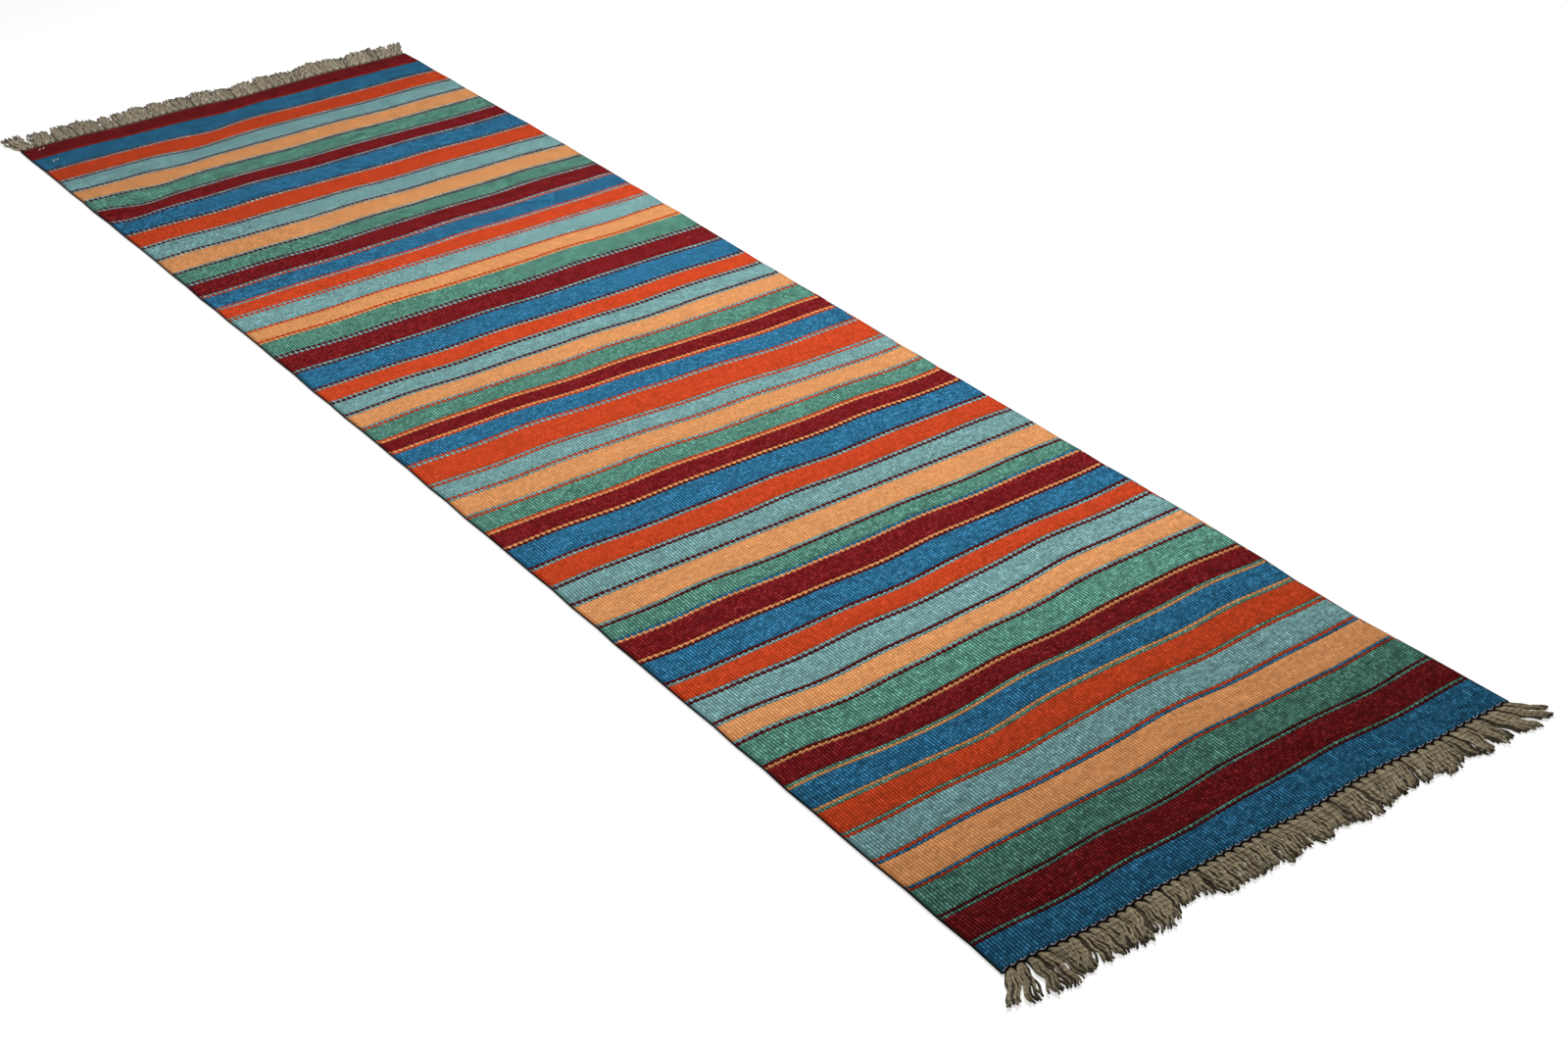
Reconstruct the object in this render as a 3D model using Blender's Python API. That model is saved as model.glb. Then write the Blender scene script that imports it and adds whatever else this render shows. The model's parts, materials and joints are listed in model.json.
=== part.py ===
"""Flat-woven runner rug: striped weft bands, selvedge cords, twined end cords and fringes.

Metres, +Z up.  The rug lies flat on z = 0 with its length along Y and its width along X; the
origin is under its middle.  It folds in thirds along two cross lines that lie between bands.
Each band stands for the wefts of one colour, beaten down over the hidden warp yarns, and for the
thin contrasting lines along its own edges.
"""

import math

import bpy
import numpy as np

# Driving dimensions
WOVEN_WIDTH = 0.80
WOVEN_LENGTH = 2.78
WEAVE_THICKNESS = 0.004
CORD_DIAMETER = 0.004
FRINGE_THICKNESS = 0.003
GAP = 0.0003

# Weaving plan, from the -Y end to the +Y end
COLOUR_CYCLE = ("blue", "maroon", "green", "peach", "teal", "orange")
BAND_WIDTHS_MM = (
    55, 54, 58, 58, 58, 54, 54, 47, 59, 46, 57, 47, 61, 57, 43, 61, 53,
    55, 64, 49, 52, 57, 49, 68, 51, 41, 50, 50, 48, 51, 67, 63, 62, 49, 56,
    49, 54, 57, 52, 65, 61, 66, 66, 52, 56, 58, 58, 62, 65, 55,
)
NEAR_FOLD_LINE = 16
FAR_FOLD_LINE = 35
PANELS = {
    "near": (0, NEAR_FOLD_LINE),
    "centre": (NEAR_FOLD_LINE, FAR_FOLD_LINE),
    "far": (FAR_FOLD_LINE, len(BAND_WIDTHS_MM)),
}

# Fringe
TUFT_COUNT = 59
TUFT_LENGTH = 0.068
TUFT_BASE_WIDTH = 0.0085
TUFT_TIP_WIDTH = 0.006
FRINGE_ROOT = 0.004
SPLAYED_TUFTS = 5
SPLAY_REACH = 0.030

# Straight runs in each wavy line across the weave
LINE_STEPS = 12

COLOURS = {
    "blue": (0.030, 0.145, 0.275),
    "maroon": (0.190, 0.014, 0.017),
    "green": (0.095, 0.240, 0.180),
    "peach": (0.740, 0.340, 0.140),
    "teal": (0.210, 0.360, 0.370),
    "orange": (0.600, 0.068, 0.021),
    "selvedge": (0.120, 0.110, 0.085),
    "end_cord": (0.230, 0.215, 0.235),
    "fringe": (0.235, 0.220, 0.165),
}
ROUGHNESS = 0.9


def line_positions():
    """Y of each line between bands, with the two woven ends."""
    positions = [-WOVEN_LENGTH / 2]
    for width in BAND_WIDTHS_MM:
        positions.append(positions[-1] + width / 1000)
    return positions


LINE_Y = line_positions()


def bump(value, centre, width):
    return math.exp(-(((value - centre) / width) ** 2))


def ramp(value, low, high):
    share = min(1.0, max(0.0, (value - low) / (high - low)))
    return share * share * (3 - 2 * share)


def drift(x, y):
    """How far hand beating has pushed a weft line off straight, along Y."""
    lean = 0.024 * bump(y, -0.84, 0.17) * ramp(x, -0.15, 0.32)
    lean -= 0.026 * bump(y, -0.11, 0.16) * ramp(x, -0.25, 0.35)
    lean += 0.010 * bump(y, 0.66, 0.12) * ramp(x, -0.20, 0.25)
    lean += 0.008 * ramp(y, -1.39, -1.335) * (1 - ramp(y, -1.05, -0.95)) * ramp(x, -0.15, 0.05)
    sag = -0.008 * bump(y, -0.98, 0.12) * bump(x, -0.22, 0.09)
    crease_x = -0.35 + 0.97 * (y - 0.99)
    crease = -0.010 * ramp(y, 0.93, 1.00) * bump(x, crease_x, 0.055)
    crease += 0.011 * bump(y, 1.03, 0.09) * (1 - ramp(x, crease_x - 0.07, crease_x))
    wave = 0.0018 * math.sin(2 * math.pi * (x / 0.29 + 1.7 * y))
    wave += 0.0010 * math.sin(2 * math.pi * (x / 0.17 - 2.3 * y) + 1.0)
    near_fold = bump(y, LINE_Y[NEAR_FOLD_LINE], 0.03)
    far_fold = bump(y, LINE_Y[FAR_FOLD_LINE], 0.03)
    return (lean + sag + crease + wave) * (1 - near_fold) * (1 - far_fold)


def left_edge(y):
    return -WOVEN_WIDTH / 2 + 0.009 * math.cos(math.pi * y / WOVEN_LENGTH)


def right_edge(y):
    return WOVEN_WIDTH / 2 - 0.008 * bump(y, -1.14, 0.15) + 0.007 * bump(y, 0.71, 0.5)


def end_of_line(line, side):
    """Y where a line meets the left (-1) or the right (1) edge."""
    y = LINE_Y[line]
    return y + drift(side * WOVEN_WIDTH / 2, y)


def weft_line(line, offset=0.0):
    """Points across the weave along one line, moved along Y by offset."""
    y = LINE_Y[line]
    inset = CORD_DIAMETER + GAP
    start = left_edge(end_of_line(line, -1) + offset) + inset
    end = right_edge(end_of_line(line, 1) + offset) - inset
    points = []
    for step in range(LINE_STEPS + 1):
        x = start + (end - start) * step / LINE_STEPS
        points.append((x, y + drift(x, y) + offset))
    return points


def new_material(name, colour):
    material = bpy.data.materials.new(name)
    material.use_nodes = True
    shader = material.node_tree.nodes["Principled BSDF"]
    shader.inputs["Base Color"].default_value = (*COLOURS[colour], 1)
    shader.inputs["Roughness"].default_value = ROUGHNESS
    shader.inputs["Metallic"].default_value = 0
    return material


def add_curve(name, points, cyclic, dimensions, colour, parent):
    """A curve object on one POLY spline, in the rug's collection."""
    curve = bpy.data.curves.new(name, "CURVE")
    curve.dimensions = dimensions
    spline = curve.splines.new("POLY")
    spline.points.add(len(points) - 1)
    for spot, (x, y, z) in zip(spline.points, points):
        spot.co = (x, y, z, 1)
    spline.use_cyclic_u = cyclic
    curve.materials.append(new_material(name, colour))
    piece = bpy.data.objects.new(name, curve)
    piece.parent = parent
    rug.objects.link(piece)
    return piece


def add_flat_piece(name, outline, thickness, colour, parent):
    """A closed outline in plan, as thick as given, lying on z = 0."""
    points = [(x, y, 0) for x, y in outline]
    piece = add_curve(name, points, True, "2D", colour, parent)
    piece.data.fill_mode = "BOTH"
    piece.data.extrude = thickness / 2
    piece.location.z = thickness / 2
    return piece


def add_cord(name, route, colour, parent):
    """A round cord lying on z = 0 along a route in plan."""
    radius = CORD_DIAMETER / 2
    points = [(x, y, radius) for x, y in route]
    piece = add_curve(name, points, False, "3D", colour, parent)
    piece.data.bevel_depth = radius
    piece.data.bevel_resolution = 2
    piece.data.use_fill_caps = True
    return piece


def add_bands(panel, parent):
    first, last = PANELS[panel]
    end_inset = CORD_DIAMETER + GAP
    final_line = len(BAND_WIDTHS_MM)
    for line in range(first, last):
        near_inset = end_inset if line == 0 else GAP / 2
        far_inset = end_inset if line + 1 == final_line else GAP / 2
        outline = weft_line(line, near_inset)
        outline += reversed(weft_line(line + 1, -far_inset))
        colour = COLOUR_CYCLE[line % len(COLOUR_CYCLE)]
        name = f"band_{line + 1:02d}_{colour}"
        add_flat_piece(name, outline, WEAVE_THICKNESS, colour, parent)


def add_selvedges(panel, parent):
    """The bundled edge warps along both long sides of one panel."""
    first, last = PANELS[panel]
    radius = CORD_DIAMETER / 2
    for side, word, edge in ((-1, "left", left_edge), (1, "right", right_edge)):
        stations = [end_of_line(line, side) for line in range(first, last + 1)]
        stations[0] += GAP / 2
        stations[-1] -= GAP / 2
        route = [(edge(y) - side * radius, y) for y in stations]
        add_cord(f"selvedge_{word}_{panel}", route, "selvedge", parent)


def add_end_cord(panel, line, outward, parent):
    """The twined cord that locks the last weft, just inside the woven end."""
    route = weft_line(line, -outward * CORD_DIAMETER / 2)
    add_cord(f"end_cord_{panel}", route, "end_cord", parent)


def tuft_length(tuft):
    """Uneven lengths; the middle tuft is the longest."""
    share = 0.87 + 0.13 * math.cos(2 * math.pi * 0.381 * (tuft - TUFT_COUNT // 2))
    return TUFT_LENGTH * share


def tuft_splay(tuft):
    """Sideways reach of a tuft's tip: only those at the corners fan outward."""
    from_left = max(0, SPLAYED_TUFTS - tuft)
    from_right = max(0, SPLAYED_TUFTS - (TUFT_COUNT - 1 - tuft))
    return SPLAY_REACH * (from_right**2 - from_left**2) / SPLAYED_TUFTS**2


def add_fringe(panel, line, outward, parent):
    """The free warp ends as one comb: a narrow root strip and a finger for each tuft."""
    inner = weft_line(line, outward * GAP)
    inner_x, inner_y = zip(*inner)
    half_span = (WOVEN_WIDTH - TUFT_BASE_WIDTH) / 2
    tip_limit = WOVEN_WIDTH / 2 + SPLAY_REACH
    comb = []
    for tuft in range(TUFT_COUNT):
        x = -half_span + 2 * half_span * tuft / (TUFT_COUNT - 1)
        root = np.interp(x, inner_x, inner_y) + outward * FRINGE_ROOT
        tip = outward * (WOVEN_LENGTH / 2 + tuft_length(tuft))
        tip_x = x + tuft_splay(tuft)
        tip_left = max(-tip_limit, tip_x - TUFT_TIP_WIDTH / 2)
        tip_right = min(tip_limit, tip_x + TUFT_TIP_WIDTH / 2)
        comb.append((x - TUFT_BASE_WIDTH / 2, root))
        comb.append((tip_left, tip))
        comb.append((tip_right, tip))
        comb.append((x + TUFT_BASE_WIDTH / 2, root))
    outline = inner + list(reversed(comb))
    add_flat_piece(f"fringe_{panel}", outline, FRINGE_THICKNESS, "fringe", parent)


def add_panel_empty(panel):
    """An empty that groups one third of the rug."""
    empty = bpy.data.objects.new(f"panel_{panel}", None)
    rug.objects.link(empty)
    return empty


for leftover in list(bpy.data.objects):
    bpy.data.objects.remove(leftover, do_unlink=True)

rug = bpy.data.collections.new("runner_rug")
bpy.context.scene.collection.children.link(rug)

empties = {panel: add_panel_empty(panel) for panel in PANELS}
for panel, empty in empties.items():
    add_bands(panel, empty)
    add_selvedges(panel, empty)

for panel, line, outward in (("near", 0, -1), ("far", len(BAND_WIDTHS_MM), 1)):
    add_end_cord(panel, line, outward, empties[panel])
    add_fringe(panel, line, outward, empties[panel])
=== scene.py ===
"""The finished look of the striped flat-woven runner rug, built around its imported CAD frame.

Metres, +Z up, in the rug's own frame: length along Y, width along X, floor at z = 0.
Bands, edge lines, selvedges, twined end cords and fringe yarns are each their own mesh.
"""

import json
import math
from collections import namedtuple

import bpy
import numpy as np
from mathutils import Matrix, Vector


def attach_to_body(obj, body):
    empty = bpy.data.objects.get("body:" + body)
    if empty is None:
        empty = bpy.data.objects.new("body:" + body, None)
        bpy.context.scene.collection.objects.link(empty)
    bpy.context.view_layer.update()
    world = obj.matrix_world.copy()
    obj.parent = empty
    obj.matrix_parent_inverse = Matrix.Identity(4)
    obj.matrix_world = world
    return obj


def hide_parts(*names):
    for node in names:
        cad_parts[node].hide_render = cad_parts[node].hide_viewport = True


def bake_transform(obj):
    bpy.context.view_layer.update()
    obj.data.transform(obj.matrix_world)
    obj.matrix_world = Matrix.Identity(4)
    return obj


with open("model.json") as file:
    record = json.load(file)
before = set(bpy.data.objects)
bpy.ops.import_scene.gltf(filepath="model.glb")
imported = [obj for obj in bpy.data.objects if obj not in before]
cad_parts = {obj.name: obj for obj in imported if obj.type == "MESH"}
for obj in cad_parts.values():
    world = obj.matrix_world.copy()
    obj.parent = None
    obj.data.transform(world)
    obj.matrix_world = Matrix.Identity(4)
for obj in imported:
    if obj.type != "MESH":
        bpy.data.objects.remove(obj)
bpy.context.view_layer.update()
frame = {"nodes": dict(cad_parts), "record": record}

# ---------------------------------------------------------------- driving dimensions
WOVEN_WIDTH = 0.80
WOVEN_LENGTH = 2.78
THICKNESS = 0.004
CORD_DIAMETER = 0.004
GAP = 0.0003
BAND_WIDTHS_MM = (
    55, 54, 58, 58, 58, 54, 54, 47, 59, 46, 57, 47, 61, 57, 43, 61, 53,
    55, 64, 49, 52, 57, 49, 68, 51, 41, 50, 50, 48, 51, 67, 63, 62, 49, 56,
    49, 54, 57, 52, 65, 61, 66, 66, 52, 56, 58, 58, 62, 65, 55,
)
BANDS = len(BAND_WIDTHS_MM)
NEAR_FOLD_LINE = 16
FAR_FOLD_LINE = 35

# Colours of the two thin lines between each band and the next, nearer the -Y end first
EDGE_LINES = (
    "maroon green", "green maroon", "orange blue", "blue orange", "orange green",
    "green peach", "peach green", "peach maroon", "maroon teal", "teal maroon",
    "maroon teal", "teal maroon", "maroon peach", "peach blue", "maroon teal",
    "teal maroon", "maroon teal", "teal maroon", "maroon peach", "peach orange",
    "orange teal", "teal orange", "orange teal", "teal orange", "orange peach",
    "peach orange", "orange teal", "teal maroon", "maroon teal", "teal maroon",
    "maroon teal", "teal maroon", "peach orange", "orange teal", "orange teal",
    "teal orange", "orange teal", "teal maroon", "maroon teal", "teal maroon",
    "maroon teal", "teal maroon", "maroon teal", "teal maroon", "maroon teal",
    "teal maroon", "maroon teal", "teal maroon", "maroon orange",
)
# The lines of the first three boundaries are narrower than the others, and the last pair most
NEAR_LINE_WIDTH = 0.0040
EDGE_LINE_WIDTH = 0.0049
LAST_LINE_WIDTH = 0.6 * NEAR_LINE_WIDTH
NEAR_LINES = 3
# How light the yarn of the thin lines is beside the same colour in a band
LINE_LOTS = {
    "blue": 0.95, "maroon": 0.55, "green": 1.15, "peach": 1.0, "teal": 1.0, "orange": 0.90,
}

# Weave
RIBS = 174
COLUMNS_PER_RIB = 4
COLUMNS = RIBS * COLUMNS_PER_RIB + 1
RIB_RELIEF = 0.00055
CLOTH_UNEVENNESS = 0.00022
# A band's seams are rounded down by this much over this reach, and an edge line's by its own drop
SEAM_DROP = 0.0006
SEAM_REACH = 0.0014
LINE_DROP = 0.0007
# The teeth of a weft line rise over this share of two ribs, and its outer seams are less toothed
TOOTH_RISE = 0.6
OUTER_TOOTH = 0.55
# Rows across a band that lies flat and across one next to a fold line; a strip with more rows than
# BENDING_ROWS keeps them all on its lower face too
PLAIN_ROW_STEP = 0.012
FOLD_ROW_STEP = 0.0022
BENDING_ROWS = 20

# Fringe
TUFTS = 58
YARN_RADIUS = 0.00155
# Place across the tuft and layer of each yarn: five on the floor, four over them
TUFT_YARNS = (
    (-0.56, 0), (-0.28, 0), (0.0, 0), (0.28, 0), (0.56, 0),
    (-0.42, 1), (-0.13, 1), (0.14, 1), (0.43, 1),
)
# For the lower and the upper layer: height, width at the root, how far it spreads, its arch out of
# the weave and how freely it strays
LAYER_HEIGHTS = (0.0018, 0.0041)
TUFT_ROOTS = (0.0100, 0.0066)
TUFT_FANS = (0.0026, 0.0086)
LAYER_ARCHES = (0.0004, 0.0008)
LAYER_FREEDOM = (0.35, 1.0)
# How light each layer is, the lower one darker as painted shade under the upper one; how fast the
# painted shade at its root lightens; and the tint of its wool
PAINTED_LAYER_SHADES = {"near": (0.30, 1.10), "far": (0.80, 1.48)}
PAINTED_ROOT_SHADES = {"near": (3.0, 11.0), "far": (6.0, 24.0)}
PANEL_TINTS = {"near": (1.0, 1.0, 1.0), "far": (0.97, 1.01, 1.13)}
YARN_SIDES = 8
PLY_PITCH = 0.0075
# A lobed yarn needs this much of its radius under its middle to clear the floor
CLEARANCE = 1.15
RING_STEP = 0.0017
ROOT_HEIGHT = 0.0021
TUFT_LENGTH = 0.068
LONGEST_YARN = 1.15 * TUFT_LENGTH
FRINGE_TOP = 0.0063


def line_positions():
    """Y of each line between bands, with the two woven ends."""
    positions = [-WOVEN_LENGTH / 2]
    for width in BAND_WIDTHS_MM:
        positions.append(positions[-1] + width / 1000)
    return positions


LINE_Y = line_positions()
PANEL_LINES = {
    "near": (0, NEAR_FOLD_LINE),
    "centre": (NEAR_FOLD_LINE, FAR_FOLD_LINE),
    "far": (FAR_FOLD_LINE, BANDS),
}
COLOUR_NAMES = [name.split("_")[2] for name in sorted(frame["nodes"]) if name.startswith("band_")]
BODY_OF_NODE = {
    node: body
    for body, nodes in frame["record"]["behaviour"]["bodies"].items()
    for node in nodes
}


# ---------------------------------------------------------------- shape of the cloth
def bump(value, centre, width):
    """A smooth hill of height 1."""
    return np.exp(-(((value - centre) / width) ** 2))


def ramp(value, low, high):
    """A smooth rise from 0 at low to 1 at high."""
    share = np.clip((value - low) / (high - low), 0, 1)
    return share * share * (3 - 2 * share)


# Where the beating pushed lines forward or back on the right: push, centre and reach along Y, and
# the X range over which it grows
LEANS = (
    (0.024, -0.84, 0.17, -0.15, 0.32),
    (-0.026, -0.11, 0.16, -0.25, 0.35),
    (0.010, 0.66, 0.12, -0.20, 0.25),
)
# Small waves everywhere: height, length across, skew along Y and start
WAVES = ((0.0018, 0.29, 1.7, 0.0), (0.0010, 0.17, -2.3, 1.0))
# A fold is straight, so no line drifts within this reach of it
FOLD_CALM = 0.03


def drift(x, y):
    """How far hand beating has pushed a weft line off straight, along Y."""
    lean = sum(push * bump(y, centre, reach) * ramp(x, low, high)
               for push, centre, reach, low, high in LEANS)
    near_end = ramp(y, -1.39, -1.335) * (1 - ramp(y, -1.05, -0.95))
    lean = lean + 0.008 * near_end * ramp(x, -0.15, 0.05)
    sag = -0.008 * bump(y, -0.98, 0.12) * bump(x, -0.22, 0.09)
    # A slanting crease near the far left, with the lines to the left of it pushed the other way
    crease_x = -0.35 + 0.97 * (y - 0.99)
    crease = -0.010 * ramp(y, 0.93, 1.00) * bump(x, crease_x, 0.055)
    crease = crease + 0.011 * bump(y, 1.03, 0.09) * (1 - ramp(x, crease_x - 0.07, crease_x))
    wave = sum(height * np.sin(2 * math.pi * (x / length + skew * y) + start)
               for height, length, skew, start in WAVES)
    near_fold = bump(y, LINE_Y[NEAR_FOLD_LINE], FOLD_CALM)
    far_fold = bump(y, LINE_Y[FAR_FOLD_LINE], FOLD_CALM)
    return (lean + sag + crease + wave) * (1 - near_fold) * (1 - far_fold)


def left_edge(y):
    """X of the left edge, which is drawn in towards the middle of the rug."""
    return -WOVEN_WIDTH / 2 + 0.009 * np.cos(math.pi * y / WOVEN_LENGTH)


def right_edge(y):
    """X of the right edge, with one waist and one long swell."""
    return WOVEN_WIDTH / 2 - 0.008 * bump(y, -1.14, 0.15) + 0.007 * bump(y, 0.71, 0.5)


def end_of_line(line, side):
    """Y where a line meets the left (-1) or the right (1) edge."""
    y = LINE_Y[line]
    return y + drift(side * WOVEN_WIDTH / 2, y)


def uneven(line, side):
    """Each weft turn pulls the edge in or lets it out a little."""
    return 0.0008 * math.sin(2.7 * line + side) + 0.0005 * math.sin(7.1 * line)


def seam(line, offset, tooth=0.0, phase=0.0):
    """A weft line, moved along Y and toothed over every second rib.

    Gives X and Y for each column and the line's place along the cloth in mm, for its material.
    """
    y = LINE_Y[line]
    inset = CORD_DIAMETER + GAP
    start = left_edge(end_of_line(line, -1) + offset) + inset + uneven(line, -1)
    end = right_edge(end_of_line(line, 1) + offset) - inset + uneven(line, 1)
    share = np.linspace(0, 1, COLUMNS)
    x = start + (end - start) * share
    cycle = (np.arange(COLUMNS) / (2 * COLUMNS_PER_RIB) + phase) % 1.0
    rise = np.where(cycle < TOOTH_RISE, cycle / TOOTH_RISE, (1 - cycle) / (1 - TOOTH_RISE))
    saw = np.clip((rise * 2 - 1) * (1 + line / BANDS), -1, 1)
    return x, y + drift(x, y) + offset + tooth * saw, (y + offset) * 1000


def cloth_lift(x, y):
    """Gentle unevenness of the upper face, from hand weaving."""
    along = np.sin(2 * math.pi * (x / 0.21 + y / 0.47))
    across = np.sin(2 * math.pi * (y / 0.31 - x / 0.53))
    return CLOTH_UNEVENNESS * (along * across)


# ---------------------------------------------------------------- mesh helpers
def mesh_object(name, points, faces, weave, colours=None):
    """A smooth mesh; weave and colours are point attributes that its material reads."""
    mesh = bpy.data.meshes.new(name)
    mesh.from_pydata(points.reshape(-1, 3).tolist(), [], faces)
    attribute = mesh.attributes.new("weave", "FLOAT_VECTOR", "POINT")
    attribute.data.foreach_set("vector", np.asarray(weave, np.float32).ravel())
    if colours is not None:
        attribute = mesh.attributes.new("yarn_colour", "FLOAT_COLOR", "POINT")
        attribute.data.foreach_set("color", np.asarray(colours, np.float32).ravel())
    mesh.polygons.foreach_set("use_smooth", np.ones(len(mesh.polygons), bool))
    mesh.update()
    piece = bpy.data.objects.new(name, mesh)
    bpy.context.scene.collection.objects.link(piece)
    return piece


def ring_faces(rings, sides, first=0):
    """Quads round a tube of closed rings stored one after another, with both ends capped."""
    ring, side = np.meshgrid(np.arange(rings - 1), np.arange(sides), indexing="ij")
    after = (side + 1) % sides
    a = first + ring * sides + side
    b = first + ring * sides + after
    quads = np.stack([a, b, b + sides, a + sides], -1).reshape(-1, 4).tolist()
    last = first + (rings - 1) * sides
    return quads + [list(range(first + sides - 1, first - 1, -1)), list(range(last, last + sides))]


def strip(name, low_seam, high_seam, rows, tone_and_end_shade):
    """A closed strip of ribbed cloth between two seams.

    rows lists (share of the way across, height of the upper face); the lower face mirrors the
    upper one. The last argument is how light this lot of yarn is, times painted shade towards both
    ends.
    """
    low_x, low_y, low_pick = low_seam
    high_x, high_y, high_pick = high_seam
    column = np.arange(COLUMNS)
    rib = 0.5 + 0.5 * np.cos(2 * math.pi * column / COLUMNS_PER_RIB)
    keep_below = rows if len(rows) > BENDING_ROWS else [*rows[:2], *rows[-2:]]
    ring = [(share, height, True) for share, height in rows]
    ring += [(share, height, False) for share, height in reversed(keep_below)]
    points = np.zeros((COLUMNS, len(ring), 3))
    weave = np.zeros((COLUMNS, len(ring), 3))
    for index, (share, height, upper) in enumerate(ring):
        x = low_x + (high_x - low_x) * share
        y = low_y + (high_y - low_y) * share
        crest = height - RIB_RELIEF * (1 - rib)
        top = crest + cloth_lift(x, y)
        points[:, index] = np.stack([x, y, top if upper else THICKNESS - crest], -1)
        pick = low_pick + (high_pick - low_pick) * share
        weave[:, index, 0] = column / COLUMNS_PER_RIB + 0.5
        weave[:, index, 1] = pick
        weave[:, index, 2] = tone_and_end_shade
    return mesh_object(name, points, ring_faces(COLUMNS, len(ring)), weave)


def tube_rings(path, radius, sides, lobes, lobe_count, turns):
    """Rings of points round a path, with lobes that wind along it as the plies of a yarn do."""
    tangent = np.gradient(path, axis=0)
    tangent /= np.linalg.norm(tangent, axis=1, keepdims=True)
    side_way = np.cross(tangent, (0, 0, 1.0))
    side_way /= np.maximum(np.linalg.norm(side_way, axis=1, keepdims=True), 1e-9)
    up_way = np.cross(side_way, tangent)
    angle = 2 * math.pi * np.arange(sides) / sides
    wound = lobe_count * (angle[None, :] - 2 * math.pi * turns[:, None])
    reach = np.reshape(radius, (-1, 1)) * (1 + lobes * np.cos(wound))
    offset = side_way[:, None] * np.cos(angle)[None, :, None]
    offset = offset + up_way[:, None] * np.sin(angle)[None, :, None]
    return path[:, None] + offset * reach[..., None]


def yarn_weave(rings, along, turn, number):
    """The weave attribute of a yarn: place along it, place round it and its own number."""
    weave = np.zeros(rings.shape)
    weave[..., 0] = along[:, None]
    weave[..., 1] = turn
    weave[..., 2] = number
    return weave


def distance_along(path):
    """Distance from the start of a path to each of its points."""
    steps = np.linalg.norm(np.diff(path, axis=0), axis=1)
    return np.concatenate([[0], np.cumsum(steps)])


# ---------------------------------------------------------------- materials
WOOL_ROUGHNESS = 0.92
YARN_ROUGHNESS = 0.95
WOOL_SHEEN = 0.02
YARN_SHEEN = 0.03
# Depth of the relief that a material adds to its mesh
WEFT_RELIEF = 0.0008
YARN_RELIEF = 0.0004

# Weft floats: the length of one along Y, how far it slants across a rib, and its share of the
# height beside the rib's own
ROW_PITCH_MM = 2.9
FLOAT_SLANT = -0.40
FLOAT_SHARE = 0.42
# A run is a few rows of one rib that share a shade; a thread is one row across many ribs
RUN_LENGTH_MM = 5.8
RUN_STAGGER = 0.31
THREAD_SPREAD = 0.16
THREAD_SCALE = 3.618
# How light the lowest and the highest of each is, times the yarn's own colour
# The ribs and rows are painted shade in the valleys between ribs and between floats; floats, runs
# and threads are random tone
PAINTED_RIB_SHADES = (0.21, 1.61)
PAINTED_ROW_SHADES = (0.45, 1.18)
FLOAT_SHADES = (0.84, 1.15)
RUN_SHADES = (0.76, 1.22)
THREAD_SHADES = (0.80, 1.22)
# How deeply all that shows near the -Y end, in the middle, and how much more at the +Y end, with
# the places between which it changes
NEAR_CONTRAST = 1.15
MIDDLE_CONTRAST = 0.82
FAR_CONTRAST = 1.55
NEAR_CHANGE_MM = (-1300.0, 0.0)
FAR_CHANGE_MM = (200.0, 1300.0)


def opaque(colour, share=1.0, added=0.0):
    """A linear colour made lighter or darker, with full alpha."""
    return tuple(min(1.0, part * share + added) for part in colour) + (1.0,)


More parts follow.
